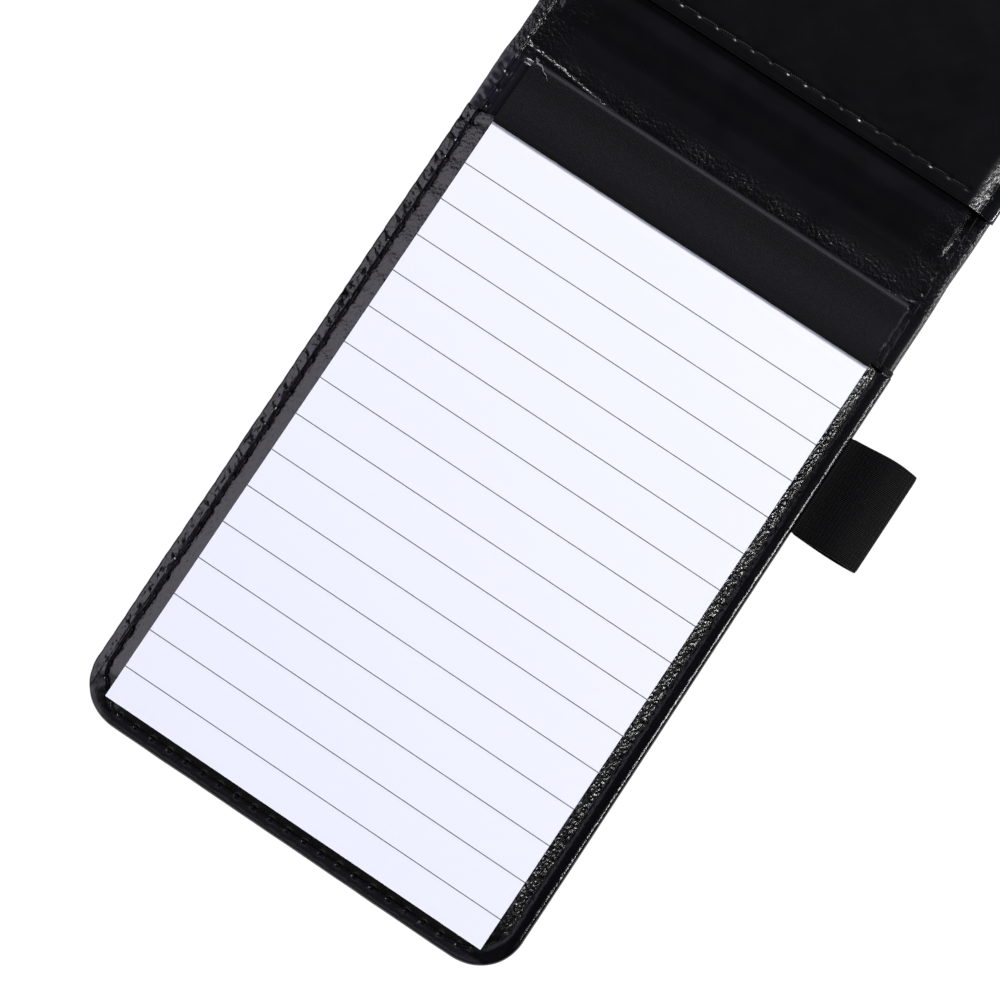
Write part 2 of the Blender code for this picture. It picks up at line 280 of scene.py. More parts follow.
def panel_painted_light(m):
    """Painted light: lighter colour at the foot's edge and in the valley of the left-hand seam,
    standing in for reflections there.
    """
    # painted reflection on the foot's outer rim, then painted light in the left seam valley
    foot = m.along("Y", -60.4, -60.0, 18.0, 0.0)
    valley = m.times(m.along("X", -38.95, -38.75, 0.0, 12.0),
                     m.along("X", -38.1, -37.9, 1.0, 0.0))
    return m.math("MAXIMUM", foot, valley)


def panel_leather():
    """Grain shows most where the leather is pulled up over the pad's long sides."""
    m = leather("panel_leather", (0.0006, 0.0005, 0.0015), (0.0015, 0.0013, 0.0026), 0.26, 0.36,
                0.005, panel_painted_light)
    side = m.math("ABSOLUTE", m.axis("X"), 0.0)
    strip = m.times(m.ramp(side, 34.2 * MM, 35.4 * MM, 0.0, 1.0),
                    m.along("X", 37.3, 37.8, 1.0, 0.15),
                    m.along("Y", 64.0, 70.0, 1.0, 0.35),
                    m.along("Y", -56.0, -50.0, 0.2, 1.0))
    by_side = m.along("X", -20.0, 20.0, 0.38, 1.0)
    domes = m.ramp(m.cells(0.62, "F1"), 0.0, 0.7, 1.0, 0.0)
    coarse = m.math("ADD", m.times(domes, 0.6), m.noise(0.9, 1.0))
    grain = m.bump(m.times(coarse, by_side, strip), 0.17, after=m.fine)
    soft_rim = m.times(m.along("X", -38.7, -38.4, 1.0, 0.0),
                       m.along("Y", -54.0, -48.0, 0.3, 1.0))
    m.bump(m.times(m.noise(1.4, 1.5), soft_rim), 0.38, after=grain)
    gloss = m.times(strip, by_side, -0.05)
    pressed = m.along("X", 38.6, 39.0, 0.0, -0.09)
    m.link(m.math("ADD", m.math("ADD", m.rough, gloss), pressed), m.shader.inputs["Roughness"])
    return m.material


def lining_painted_light(m):
    """Painted light: lighter colour at the left-hand edge, as far as the crease past the pad's head,
    lifting the shade beside the pad.
    """
    # painted light over the shaded lining beside the pad
    return m.times(m.along("X", -36.4, -35.6, 4.0, 0.0), m.along("Y", 62.0, 64.0, 1.0, 0.0))


def lining_leather():
    """Smoother leather with fine wrinkles past the pad's head and by the board's ends."""
    m = leather("inner_leather", (0.0011, 0.0010, 0.0021), (0.0027, 0.0025, 0.0046), 0.27, 0.34,
                0.004, lining_painted_light)
    by_head = m.times(m.along("Y", 62.0, 63.5, 0.0, 1.0), m.along("Y", 65.0, 67.5, 1.0, 0.0))
    side = m.math("ABSOLUTE", m.axis("X"), 0.0)
    by_side = m.times(m.ramp(side, 30.0 * MM, 32.0 * MM, 0.0, 0.8),
                      m.along("Y", 64.0, 66.0, 0.0, 1.0))
    patchy = m.ramp(m.noise(7.0, 3.0), 0.35, 0.62, 0.5, 1.0)
    where = m.times(m.math("MAXIMUM", by_head, by_side), patchy)
    creases = m.math("ADD", m.ramp(m.cells(0.9), 0.0, 0.3, 0.0, 0.3), m.noise(0.62, 2.0))
    m.bump(m.times(creases, where), 0.18, after=m.fine)
    return m.material


def thread_material():
    m = Nodes("stitch_thread")
    m.color(m.noise(0.5), (0.002, 0.002, 0.003), (0.009, 0.009, 0.011))
    m.bump(m.waves(0.22, "DIAGONAL"), 0.05)
    m.set(Roughness=0.6, Specular_IOR_Level=0.2)
    return m.material


def tape_material():
    """Fine plain-woven binding cloth, matte, with a few lighter fibres and a painted highlight line
    at the head.
    """
    m = Nodes("woven_tape")
    weave = m.times(m.waves(0.33, "X", 0.6), m.waves(0.33, "Y", 0.6))
    fibres = m.noise(0.35, 4.0, 0.7)
    # painted highlight: a lighter band of colour along the rounded head
    head_painted_highlight = m.times(m.along("Y", 61.15, 61.5, 0.0, 3.0), m.along("Y", 61.6, 61.9, 1.0, 0.0))
    m.color(m.math("ADD", m.ramp(fibres, 0.45, 0.75, 0.0, 1.0), head_painted_highlight),
            (0.0032, 0.0031, 0.0046), (0.0086, 0.0084, 0.0112))
    m.bump(m.math("ADD", weave, fibres), 0.06)
    m.set(Roughness=0.8, Specular_IOR_Level=0.10)
    return m.material


def webbing_material():
    """Ribbed elastic: covered rubber cords with a fine cross yarn."""
    m = Nodes("ribbed_elastic")
    yarn = m.math("ADD", m.waves(0.28, "Y", 0.8), m.noise(0.2, 2.0))
    loops = m.times(m.waves(0.60, "X", 0.3), m.waves(0.42, "Y", 0.6))
    # the knit's pattern with painted shade in its rib grooves, strongest by the fold where the ribs
    # curve
    painted_rib_shade = m.along("X", 48.6, 50.2, 0.25, 1.6)
    tone = m.math("ADD", m.times(loops, painted_rib_shade), m.ramp(m.noise(0.5), 0.3, 0.7, 0.0, 0.6))
    m.color(tone, (0.0006, 0.0006, 0.0010), (0.0048, 0.0048, 0.0056))
    m.bump(m.math("ADD", yarn, loops), 0.07)
    m.set(Roughness=0.7, Specular_IOR_Level=0.08)
    return m.material


def paper_material():
    m = Nodes("writing_paper")
    m.color(m.noise(0.25, 4.0, 0.6), (0.764, 0.780, 0.884), (0.787, 0.803, 0.907))
    m.bump(m.noise(0.12, 3.0), 0.01)
    m.set(Roughness=0.7, Specular_IOR_Level=0.3)
    return m.material


def ink_material():
    m = Nodes("rule_ink")
    m.color(m.noise(0.4, 3.0), (0.045, 0.043, 0.048), (0.09, 0.087, 0.095))
    m.set(Roughness=0.8)
    return m.material


def board_material(name, dark, light):
    m = Nodes(name)
    m.color(m.noise(0.4, 6.0, 0.75), dark, light)
    m.bump(m.noise(0.3, 5.0, 0.7), 0.05)
    m.set(Roughness=0.9)
    return m.material


def fray_material():
    m = Nodes("frayed_fibre")
    m.color(m.noise(0.3), (0.10, 0.10, 0.11), (0.22, 0.22, 0.23))
    m.set(Roughness=0.6)
    return m.material


def floor_material():
    m = Nodes("studio_floor")
    m.color(m.noise(60.0, 2.0), (0.05, 0.05, 0.05), (0.06, 0.06, 0.06))
    m.set(Roughness=0.9, Specular_IOR_Level=0.1)
    m.shader.inputs["Emission Color"].default_value = (1.0, 1.0, 1.0, 1.0)
    m.shader.inputs["Emission Strength"].default_value = 0.99
    return m.material


SHELL = panel_leather()
INNER = lining_leather()
OUTER = leather("outer_leather", (0.0024, 0.0023, 0.0036), (0.0052, 0.0050, 0.0072), 0.36, 0.42,
                0.018).material
THREAD = thread_material()
TAPE = tape_material()
WEBBING = webbing_material()
PAPER = paper_material()
INK = ink_material()
GREYBOARD = board_material("chipboard", (0.30, 0.28, 0.25), (0.46, 0.43, 0.39))
COVERBOARD = board_material("stiffening_board", (0.22, 0.20, 0.18), (0.36, 0.34, 0.31))
FRAY = fray_material()
FLOOR = floor_material()


# ---------------------------------------------------------------- leather leaves

class Rim:
    """A leaf's edge line: from the left hinge corner round the free end to the right one.

    s is the length along it, 0 in the middle of the free end and positive on the right.
    wide is 1 or -1 for the side where the seam runs further in."""

    def __init__(self, half, foot, end_y, wide, step=STEP):
        self.half, self.foot, self.end_y, self.wide = half, foot, end_y, wide
        self.corner = CORNER_R
        self.flat = 2.0 * (half - self.corner)
        self.arc = 0.5 * math.pi * self.corner
        self.total = self.flat / 2.0 + self.arc + end_y - foot - self.corner
        count = round(self.total / step)
        last = [self.total - f for f in (0.05, 0.12)]
        right = sorted([self.total * i / count for i in range(1, count + 1)] + last)
        self.stations = [-s for s in reversed(right)] + [0.0] + right

    def at(self, s, d=0.0):
        """Point at distance s along the edge and d in from it."""
        side = 1.0 if s >= 0.0 else -1.0
        t = abs(s)
        if t <= self.flat / 2.0:
            return side * t, self.foot + d
        t -= self.flat / 2.0
        centre = self.half - self.corner
        if t <= self.arc:
            angle = t / self.corner
            reach = self.corner - d
            return (side * (centre + reach * math.sin(angle)),
                    self.foot + self.corner - reach * math.cos(angle))
        return side * (self.half - d), self.foot + self.corner + t - self.arc

    def depth(self, s, d):
        """Real distance in, where the pattern's is d: the rim is broader on one side."""
        extra = WIDE_SEAM * smooth(self.flat / 2.0, self.flat / 2.0 + 24.0, s * self.wide)
        extra += 0.9 * bump(abs(s) - self.flat / 2.0 - self.arc / 2.0, 5.0)
        extra += 0.16 * wobble(s, 3.0, 8.0, 2.6) * sides(s, self.wide)[0]
        return d + extra * smooth(0.1, 1.7, d) * (1.0 - smooth(4.2, 6.4, d))


def spread(low, high, count):
    return [low + (high - low) * i / count for i in range(count + 1)]


TOP_DEPTHS = ([CREST_D * (1.0 - math.cos(math.radians(a))) for a in (0, 14, 27, 40, 52, 64, 77, 90)]
              + [1.4, 1.55, 1.7, 1.82, 1.93, 2.03, 2.13, 2.26, 2.45, 2.8, 3.3, 3.9, 4.5, 5.1, 5.7,
                 6.4])
LOW_DEPTHS = [6.4, 5.7, 5.1, 4.5, 3.9, 3.3, 2.8, 2.45, 2.2, 2.0, 1.8, 1.5, 0.8, 0.3, 0.1]


def leaf_mesh(rim, top, bottom, sway, cross_y=None, columns=0):
    """Closed solid between bottom and top, functions of (x, y, d, s).

    Past cross_y towards the hinge the middle is a grid, so that it can wrinkle."""
    verts, faces = [], []
    inner = TOP_DEPTHS[-1]

    def put(x, y, z):
        verts.append((x, y, z))
        return len(verts) - 1

    def point(s, d, z_of):
        shift = sway(s) * (1.0 - smooth(0.5, 2.6, d))
        x, y = rim.at(s, rim.depth(s, d) - shift)
        return put(x, y, z_of(x, y, d, s))

    rows = [[point(s, d, bottom) for s in rim.stations] for d in LOW_DEPTHS]
    rows += [[point(s, d, top) for s in rim.stations] for d in TOP_DEPTHS]
    last = len(rim.stations) - 1
    for a, b in zip(rows, rows[1:]):
        faces += [(a[i], a[i + 1], b[i + 1], b[i]) for i in range(last)]

    def middle(row, z_of):
        """Rows straight across the leaf from its hinge side down to cross_y, then one face."""
        if cross_y is None:
            return [], [tuple(row)]
        across = []
        for i, s in enumerate(rim.stations):
            x, y = rim.at(s, inner)
            if y < cross_y:
                break
            xs = [x * (1.0 - 2.0 * c / columns) for c in range(1, columns)]
            line = [put(v, y, z_of(v, y, rim.half - abs(v), 0.0)) for v in xs]
            across.append([row[i]] + line + [row[last - i]])
        m = len(across) - 1
        grid = [(b[c], b[c + 1], a[c + 1], a[c])
                for a, b in zip(across, across[1:]) for c in range(columns)]
        return across[0][1:-1], grid + [tuple(row[m:last - m + 1] + across[m][-2:0:-1])]

    over, made = middle(rows[-1], top)
    faces += made
    under, made = middle(rows[0], bottom)
    faces += [tuple(reversed(f)) for f in made]
    left = [row[0] for row in rows]
    right = [row[last] for row in rows]
    faces.append(tuple(left + over + right[::-1] + under[::-1]))
    return verts, faces


def sides(s, wide):
    """Shares of the narrow-seam side, the free end and the wide-seam side at s."""
    near = 1.0 - smooth(-41.0, -33.0, s * wide)
    far = smooth(33.0, 41.0, s * wide)
    return near, 1.0 - near - far, far


def seam_floor(heights, s, wide):
    """Height of the seam valley: deep on the soft side, pressed shallow elsewhere."""
    _, crest, valley = heights
    near, end, far = sides(s, wide)
    return crest - (crest - valley) * (0.85 * near + 0.20 * end + 0.50 * far)


def lining_rim(s, wide):
    """The lining's rim heights: pressed lower along the wide-seam side."""
    low, crest, valley = LINING_RIM
    return low, crest - 0.30 * sides(s, wide)[2], valley


def rim_height(d, s, heights, seed, wide, bead=0.09):
    """The sewn rim: rolled outside, puckered at the stitches, down to the seam valley.

    It is soft and puckered on one side of the cover and pressed smooth on the other."""
    low, crest, _ = heights
    valley = seam_floor(heights, s, wide)
    near, end, far = sides(s, wide)
    soft = near + 0.55 * end + 0.10 * far
    life = 1.0 + soft * (0.16 * wobble(s, 0.0, seed, 4.0) + 0.17 * wobble(s, d, seed + 3.0, 1.3))
    calm = 1.0 - 0.7 * bump(abs(s) - 38.4, 6.0)      # smoother round the corners
    peak = CREST_D + SOFT_CREST * near
    low, crest = low - 0.12 * near, crest + 0.05 * near
    if d < peak:
        t = d / peak
        dome = math.sqrt(1.0 - (1.0 - t) ** 2)
        ramp = t ** 0.94
        z = low + (crest - low) * (dome + (ramp - dome) * near) * life
    else:
        top = low + (crest - low) * life
        t = min(1.0, (d - peak) / (SEAM_D - peak))
        z = valley + (top - valley) * (0.5 + 0.5 * math.cos(math.pi * t))
    pucker = smooth(0.25, 1.3, d) * (1.0 - smooth(SEAM_D, SEAM_D + 0.35, d)) * soft * calm
    crease = bump(to_next(s + 0.55 * (SEAM_D - d) + 0.5 * wobble(s, 2.0, seed, 3.0), PITCH), 0.30)
    fine = abs(wobble(s, 0.35 * d, seed + 5.0, 0.8))
    z -= pucker * (0.20 * crease + 0.07 * fine)
    hole = bump(to_next(s, PITCH), 0.36) * bump(d - SEAM_D, 0.34)
    z -= (0.09 + 0.05 * far + 0.27 * end) * calm * hole
    return z + bead * far * bump(d - SEAM_D - 0.16, 0.09)


def rise_over(d, height, slope):
    """From 0 at the seam up to height, at one slope and then rounding off."""
    t = max(0.0, d - RISE_D) * slope / height
    if t < 0.8:
        return height * t
    return height * (1.0 - (1.2 - min(t, 1.2)) ** 2 / 0.8)


def rim_sway(seed, wide, amount=0.07):
    """How far the edge stands out from its nominal line: fuller on the soft side."""
    def sway(s):
        near, end, far = sides(s, wide)
        along = abs(s) - 45.0           # from the corner towards the hinge
        taper = 0.28 * (1.0 - smooth(0.0, 115.0, along)) - 0.30 * smooth(114.0, 129.0, along)
        pull = -0.6 * bump(to_next(s + 0.7, PITCH), 0.5) * near
        waver = pull + wobble(s, 0.0, seed, 5.0) + 0.6 * wobble(s, 7.0, seed, 14.0)
        stand = amount * waver * (near + 0.7 * end + 0.3 * far)
        return stand + 0.26 * near + 0.05 * end + far * taper
    return sway


def end_roll(y, end_y, radius):
    """How far a cut edge's surface is drawn in, to round it."""
    t = max(0.0, y - (end_y - radius)) / radius
    return radius * (1.0 - math.sqrt(max(0.0, 1.0 - min(1.0, t) ** 2)))


def pocket_panel(end_y, crown, seed, hem, wide, rise):
    """A pocket's leather: sewn down round its rim and raised over what is under it."""
    rim = Rim(HALF_W, FOOT_Y, end_y, wide)
    valley = PANEL_RIM[2]

    def surface(x, y, d, s):
        z = rim_height(d, s, PANEL_RIM, seed, wide)
        early = 0.13 * sides(s, wide)[0]        # it starts up sooner by the narrow seam
        z += rise_over(d + early, crown - seam_floor(PANEL_RIM, s, wide), rise)
        slope = smooth(2.2, 2.8, d)
        z += 0.035 * slope * wobble(x, y, seed + 7.0, 2.2)
        if hem:
            z += 0.04 * smooth(3.0, 9.0, d) * wobble(x, y, seed, 11.0)
            if abs(x) < 33.6:
                uneven = 1.0 + 0.8 * wobble(3.1 * round(x / HEM_PITCH), 0.5, 3.0, 1.0)
                z -= 0.05 * bump(y - HEM_Y, 0.25)
                z -= 0.24 * uneven * bump(y - HEM_Y, 0.32) * bump(to_next(x, HEM_PITCH), 0.34)
                round_hole = bump(y - HEM_Y, 0.8) * bump(to_next(x, HEM_PITCH), 0.8)
                z += 0.10 * round_hole * abs(wobble(x, y, seed + 2.0, 0.45))
        elif x < 0.0:
            z -= 0.60 * bump(y - 15.3 - 0.1 * (x + 40.0), 0.40) * (1.0 - smooth(2.0, 2.4, d))
            z -= 0.45 * bump(y - 48.8 - 0.15 * (x + 40.0), 0.26)
        return z

    def top(x, y, d, s):
        return surface(x, y, d, s) - end_roll(y, end_y, 0.26)

    def bottom(x, y, d, s):
        flat = max(1.52, valley + rise_over(d, crown - valley, rise) - PANEL_T)
        return flat + end_roll(y, end_y, 0.12)

    columns = 280 if hem else 0
    return leaf_mesh(rim, top, bottom, rim_sway(seed, wide), end_y - 6.0 if hem else None, columns)


def make_back_panel():
    verts, faces = pocket_panel(BACK_EDGE_Y, PANEL_HIGH.z, 2.0, False, 1, BACK_RISE)
    obj = make_object("pocket_panel_back", verts, faces, [SHELL])
    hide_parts("back_pocket_panel")
    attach(obj, "back_cover")


def make_front_panel():
    verts, faces = pocket_panel(FRONT_EDGE_Y, FRONT_PANEL_HIGH.z, 5.0, True, -1, FRONT_RISE)
    obj = make_object("pocket_panel_front", verts, faces, [SHELL], turned=True)
    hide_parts("front_pocket_panel")
    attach(obj, "front_cover")


def lining_height(y, d, over_z, front):
    """Lining: up over the board, down past the board's end and at the sewn rim."""
    drop = 7.0 if front else 1.5
    return over_z * (1.0 - smooth(BOARD_END + 0.3, BOARD_END + drop, y)) * smooth(2.5, 3.3, d)


def fold_wrinkles(x, y):
    """The crease past the pad's head, which curves away from it at both sides."""
    centre = 62.5 + 2.1 * smooth(15.0, 39.0, -x) + 1.4 * smooth(30.0, 39.0, x)
    centre += 0.06 * wobble(x, 0.0, 4.0, 9.0)
    z = 0.15 * bump(y - centre, 0.32) - 0.05 * bump(y - centre - 0.8, 0.4)
    band = smooth(centre + 0.2, centre + 0.9, y) * (1.0 - smooth(centre + 2.0, centre + 4.5, y))
    ridges = abs(wobble(x, 2.0 * y, 6.0, 3.0)) + 0.6 * abs(wobble(x, 1.6 * y, 9.0, 1.4))
    return z + band * 0.06 * ridges


def make_lining(front):
    """Half of the inner leather, from the free end to the middle of the spine."""
    rim = Rim(HALF_W - 0.5, FOOT_Y + 0.6, SPLIT_Y, -1 if front else 1)
    seed = 21.0 if front else 11.0
    open_y = FRONT_EDGE_Y - 2.0 if front else BACK_EDGE_Y - 2.0
    jitter = rim_sway(seed, rim.wide, 0.05)

    def sway(s):
        """In the open the back's rim is as wide as the panel's on the left, less on the right."""
        y = rim.at(s)[1]
        side = s * rim.wide
        if side > 0.0:
            broad = -0.25 * smooth(66.0, 75.0, y)
        else:
            broad = 0.5 - 0.25 * smooth(62.0, 66.0, y)
        return jitter(s) + broad * smooth(open_y - 3.0, open_y + 1.0, y)

    def top(x, y, d, s):
        bare = smooth(open_y - 1.5, open_y + 0.5, y)
        heights = lining_rim(s, rim.wide)
        z = rim_height(d, s, heights, seed, rim.wide, 0.02)
        z += (LINING_RIM[2] - seam_floor(heights, s, rim.wide)) * smooth(2.0, 2.8, d)
        z = LINING_Z + bare * (z - LINING_RIM[2])
        z += lining_height(y, d, LINING_BOARD_Z - LINING_Z, front)
        if not front:
            z += bare * smooth(1.0, 2.6, d) * fold_wrinkles(x, y)
        return z + 0.03 * bare * smooth(2.5, 3.5, d) * wobble(x, y, seed, 6.0)

    def bottom(x, y, d, s):
        low = LINING_LOW.z + lining_height(y, d, 2.5 - LINING_LOW.z, front)
        return low + 0.05 * (1.0 - smooth(0.0, 0.3, d))

    verts, faces = leaf_mesh(rim, top, bottom, sway, 48.0, 150)
    name = "lining_front_half" if front else "lining_back_half"
    obj = make_object(name, verts, faces, [INNER], turned=front)
    if front:
        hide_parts("front_lining")
    else:
        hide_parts("back_lining", "spine_lining")
    bend_at_fold(obj, front)


def bend_at_fold(obj, front):
    """Bakes the object's transform into its mesh; nothing bends it round the fold."""
    if front:
        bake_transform(obj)
    else:
        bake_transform(obj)


def make_skin(front):
    """Half of the outer leather, with its own stitch groove on the outside."""
    rim = Rim(SKIN_HIGH.x, FOOT_Y + HALF_W - SKIN_HIGH.x, SPLIT_Y, -1 if front else 1, 0.4)

    def top(x, y, d, s):
        return 0.55 if d < 0.01 else SKIN_HIGH.z - 0.12 * (1.0 - smooth(0.0, 0.3, d))

    def bottom(x, y, d, s):
        z = 0.42 * bump(d - SEAM_D, 0.36)
        z += 0.16 * bump(to_next(s, PITCH), 0.4) * bump(d - SEAM_D, 0.4)
        z += 0.26 * (1.0 - smooth(0.1, 1.2, d)) * (0.8 + 0.2 * wobble(s, 0.0, 33.0, 3.0))
        return min(z, 0.5)

    verts, faces = leaf_mesh(rim, top, bottom,
                             rim_sway(41.0 if front else 31.0, rim.wide, 0.05), 58.0, 24)
    name = "cover_skin_front_half" if front else "cover_skin_back_half"
    obj = make_object(name, verts, faces, [OUTER], turned=front)
    if front:
        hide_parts("front_cover_skin")
    else:
        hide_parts("back_cover_skin", "spine_skin")
    bend_at_fold(obj, front)


# ---------------------------------------------------------------- stitches

def tube(points, radii, sides=6):
    verts, faces = [], []
    path = [Vector(p) for p in points]
    last = len(path) - 1
    for i, centre in enumerate(path):
        ahead = (path[min(i + 1, last)] - path[max(i - 1, 0)]).normalized()
        side = ahead.cross(Vector((0.0, 0.0, 1.0)))
        side = side.normalized() if side.length > 1e-6 else Vector((1.0, 0.0, 0.0))
        rise = side.cross(ahead)
        for k in range(sides):
            angle = 2.0 * math.pi * k / sides
            verts.append(tuple(centre + radii[i] * (math.cos(angle) * side
                                                    + math.sin(angle) * rise)))
    for i in range(last):
        a, b = i * sides, (i + 1) * sides
        faces += [(a + k, a + (k + 1) % sides, b + (k + 1) % sides, b + k)
                  for k in range(sides)]
    faces.append(tuple(reversed(range(sides))))
    faces.append(tuple(last * sides + k for k in range(sides)))
    return verts, faces


def stitch(a, b, low, high, radius, slant=0.0):
    """One stitch: out of a hole, along the leather and down the next hole."""
    a, b = Vector(a), Vector(b)
    along = b - a
    cross = Vector((-along.y, along.x, 0.0)).normalized() * slant
    points, radii = [], []
    for t, h in ((0.03, 0.0), (0.09, 0.55), (0.2, 0.9), (0.5, 1.0), (0.8, 0.9), (0.91, 0.55),
                 (0.97, 0.0)):
        p = a + along * t + cross * (2.0 * t - 1.0)
        p.z = p.z + low + (high - low) * h
        points.append(tuple(p))
        radii.append(radius * (0.8 + 0.2 * h))
    return tube(points, radii)


def seam_stitches(rim, d, level, low, high, radius, keep):
    """The stitches of a leaf's edge seam whose middles keep() accepts."""
    parts = []
    count = int(rim.total / PITCH)
    for k in range(-count - 1, count + 1):
        s0, s1 = k * PITCH, (k + 1) * PITCH
        if max(abs(s0), abs(s1)) > rim.total:
            continue
        x, y = rim.at((s0 + s1) / 2.0, d)
        if keep(y):
            a, b = (rim.at(s, rim.depth(s, d)) for s in (s0, s1))
            parts.append(stitch((*a, level(a[1], s0)), (*b, level(b[1], s1)), low, high, radius,
                                0.07))
    return join_parts(parts)


def seam_level(edge_y, wide):
    """Leather height along the seam: pocket panel first, then the lower lining."""
    def level(y, s):
        panel = seam_floor(PANEL_RIM, s, wide) - 0.06
        lining = LINING_Z + seam_floor(lining_rim(s, wide), s, wide) - LINING_RIM[2]
        return panel + (lining - panel) * smooth(edge_y - 0.6, edge_y + 1.2, y)
    return level


def make_edge_stitches():
    fold = FOLDS["spine_fold"].y
    bend_start, bend_end = fold - FOLD_BEFORE, fold + FOLD_AFTER    # for a stitch's middle
    spine_parts, spine_outer = [], []
    for front in (False, True):
        wide = -1 if front else 1
        rim = Rim(HALF_W, FOOT_Y, SPLIT_Y, wide)
        outer_rim = Rim(SKIN_HIGH.x, FOOT_Y + HALF_W - SKIN_HIGH.x, SPLIT_Y, wide)
        edge_y = FRONT_EDGE_Y if front else BACK_EDGE_Y
        level = seam_level(edge_y, wide)
        side = "front" if front else "back"
        for label, keep in (("leaf", lambda y: y < bend_start),
                            ("fold", lambda y: bend_start <= y <= bend_end),
                            ("spine", lambda y: y > bend_end)):
            v, f = seam_stitches(rim, SEAM_D, level, -0.24, 0.03, 0.17, keep)
            ov, of = seam_stitches(outer_rim, SEAM_D, lambda y, s: 0.40, 0.05, -0.16, 0.17, keep)
            if label == "spine":
                if front:
                    v = [(-x, TURN_Y - y, z) for x, y, z in v]
                    ov = [(-x, TURN_Y - y, z) for x, y, z in ov]
                spine_parts.append((v, f))
                spine_outer.append((ov, of))
                continue
            if label == "fold":
                both = join_parts([(v, f), (ov, of)])
                obj = make_object(side + "_fold_stitches", *both, [THREAD], turned=front)
                bend_at_fold(obj, front)
                continue
            top = make_object(side + "_edge_stitches", v, f, [THREAD], turned=front)
            under = make_object(side + "_outer_stitches", ov, of, [THREAD], turned=front)
            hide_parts(side + "_edge_thread")
            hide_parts(side + "_edge_thread_outer")
            for obj in (top, under):
                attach(obj, side + "_cover")
    top = make_object("spine_edge_stitches", *join_parts(spine_parts), [THREAD])
    under = make_object("spine_outer_stitches", *join_parts(spine_outer), [THREAD])
    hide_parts("spine_thread_left", "spine_thread_right")
    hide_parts("spine_thread_left_outer", "spine_thread_right_outer")
    for obj in (top, under):
        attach(obj, "spine")


def make_hem_stitches():
    parts = []
    z = FRONT_PANEL_HIGH.z - 0.11
    count = 10
    for k in range(-count, count):
        a = (k * HEM_PITCH, HEM_Y, z)
        b = ((k + 1) * HEM_PITCH, HEM_Y, z)
        parts.append(stitch(a, b, -0.28, 0.02, 0.13, 0.05))
    obj = make_object("pocket_hem_stitches", *join_parts(parts), [THREAD], turned=True)
    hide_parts("front_hem_thread")
    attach(obj, "front_cover")


# ---------------------------------------------------------------- the pad

HEAD_DROP = PAGE_HIGH.z - PAGE_LOW.z - 0.15
DROP = (51.8, 58.6)             # where the sheets slope down to the backing board


def page_level(y):
    """Lower over the backing board, past the pocket's edge, and rounded off at the head."""
    head = max(0.0, y - (TAPE_HIGH.y - HEAD_ROUND)) / HEAD_ROUND
    round_off = 1.1 * (1.0 - math.sqrt(1.0 - min(1.0, head) ** 2))
    return -HEAD_DROP * smooth(*DROP, y) - round_off


def slab(stations, top_at, thickness, half, columns, wave):
    """A thin sheet across the pad: stations are (y, slot of the strip that follows)."""
    verts, faces, slots = [], [], []
    xs = spread(-half, half, columns)
    for y, _ in stations:
        for x in xs:
            verts.append((x, y, top_at(y) + wave(x, y)))
        for x in xs:
            verts.append((x, y, top_at(y) + wave(x, y) - thickness))
    width = len(xs)
    for j, (y, kind) in enumerate(stations[:-1]):
        a, b = 2 * width * j, 2 * width * (j + 1)
        for c in range(columns):
            faces.append((a + c, a + c + 1, b + c + 1, b + c))
            slots.append(kind)
            faces.append((a + width + c, b + width + c, b + width + c + 1, a + width + c + 1))
            slots.append(0)
        faces.append((a, b, b + width, a + width))
        faces.append((a + columns, a + width + columns, b + width + columns, b + columns))
        slots += [0, 0]
    end = 2 * width * (len(stations) - 1)
    faces.append(tuple(range(width - 1, -1, -1)) + tuple(range(width, 2 * width)))
    faces.append(tuple(range(end, end + width))
                 + tuple(range(end + 2 * width - 1, end + width - 1, -1)))
    slots += [0, 0]
    return verts, faces, slots


def with_rules(cuts):
    """The stations along a sheet, with a printed line between two of them at each rule."""
    for k in range(RULES):
        y = TAPE_EDGE - FIRST_RULE - k * RULE_PITCH
        cuts = [c for c in cuts if abs(c[0] - y) > 0.2]
        cuts += [(y - RULE_HALF, 1), (y + RULE_HALF, 0)]
    return sorted(cuts)


def make_top_sheet():
    """The first page with its printed rules."""
    cuts = [(y, 0) for y in spread(PAGE_LOW.y, 46.0, 40)]
    cuts += [(y, 0) for y in spread(46.3, PAGE_HIGH.y, 52)]

    def wave(x, y):
        return 0.02 * wobble(x, y, 17.0, 25.0)

    verts, faces, slots = slab(with_rules(cuts), lambda y: PAGE_HIGH.z + page_level(y), SHEET_T,
                               PAGE_HIGH.x, 14, wave)
    obj = make_object("ruled_top_sheet", verts, faces, [PAPER, INK], slots, lean=pad_lean)
    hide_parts("top_sheet")
    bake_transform(obj)


def make_sheet_stack():
    """The other sheets, each a little out of line with the next, as a trimmed pad is."""
    parts, slots = [], []
    count = 22
    pitch = (STACK_HIGH.z - HEAD_DROP - STACK_LOW.z) / count
    cuts = [(y, 0) for y in (STACK_LOW.y, -30.0, 0.0, 30.0, 52.0, 52.8, 53.4, 54.2, 55.0, 55.6,
                             60.8, 61.2, 61.5)]
    for k in range(count):
        top = STACK_HIGH.z - k * pitch
        dx = 0.05 * wobble(k * 1.7, 0.3, 5.0, 1.0)
        dy = 0.10 * wobble(k * 2.3, 0.9, 9.0, 1.0)
        squeeze = (top - STACK_LOW.z) / (STACK_HIGH.z - STACK_LOW.z)
        sheet = with_rules(cuts) if k == 0 else cuts
        v, f, ink = slab(sheet, lambda y: top + page_level(y) * squeeze, pitch * 0.80,
                         STACK_HIGH.x - 0.08, 6, lambda x, y: 0.0)
        parts.append(([(x + dx, y + dy * (y < 0.0), z) for x, y, z in v], f))
        slots.extend(ink)
    obj = make_object("loose_sheets", *join_parts(parts), [PAPER, INK], slots, lean=pad_lean)
    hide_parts("sheet_block")
    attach(obj, "back_cover")


